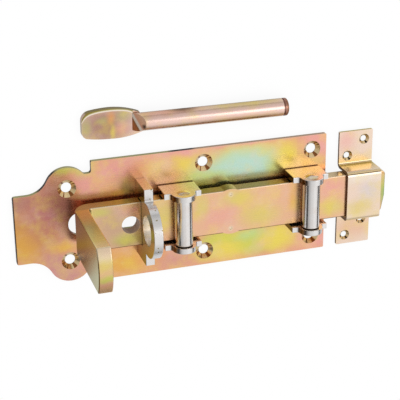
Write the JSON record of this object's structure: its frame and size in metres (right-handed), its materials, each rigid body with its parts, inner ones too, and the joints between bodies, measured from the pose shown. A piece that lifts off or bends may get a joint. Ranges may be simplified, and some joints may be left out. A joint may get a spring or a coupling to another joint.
{
  "type": "roller padbolt",
  "caption": "Heavy sliding bolt on a plate with rollers, turned-up lug, padlock staple, folded keeper and loose pull handle.",
  "frame": {"origin": "middle of the plate's length and width, on the plate's back face, which is also the surface that the part lies on", "axes": "+X is the way the bolt is thrown, +Z points away from the door, and +Y is the side where the loose handle lies"},
  "size_m": [0.3345, 0.1564, 0.106],
  "materials": {
    "plated_plate": "satin zinc plate with rainbow tint",
    "plated_bar": "satin zinc plate with rainbow tint",
    "plated_fittings": "bright zinc plate with rainbow tint",
    "bright_steel": "polished",
    "pale_keeper": "bright zinc plate, pale cream",
    "plated_handle": "satin zinc plate with rainbow tint"
  },
  "bodies": {
    "mounting": {"back_plate": "plated_plate", "staple": "plated_fittings", "bracket_left": "plated_fittings", "bracket_right": "plated_fittings", "axle_left": "plated_fittings", "axle_right": "plated_fittings", "keeper": "pale_keeper", "pull_handle": "plated_handle"},
    "bolt": {"bolt_bar": "plated_bar"},
    "left_roller": {"roller_left": "bright_steel"},
    "right_roller": {"roller_right": "bright_steel"}
  },
  "joints": [
    {"name": "bolt_slide", "type": "slide", "parent": "mounting", "child": "bolt", "axis": [1, 0, 0], "range_m": [-0.043, 0.0017]},
    {"name": "left_roller_turn", "type": "hinge", "parent": "mounting", "child": "left_roller", "pos_m": [0.0002, 0, 0.02885], "axis": [0, 1, 0], "continuous": true},
    {"name": "right_roller_turn", "type": "hinge", "parent": "mounting", "child": "right_roller", "pos_m": [0.1179, 0, 0.02885], "axis": [0, 1, 0], "continuous": true}
  ]
}
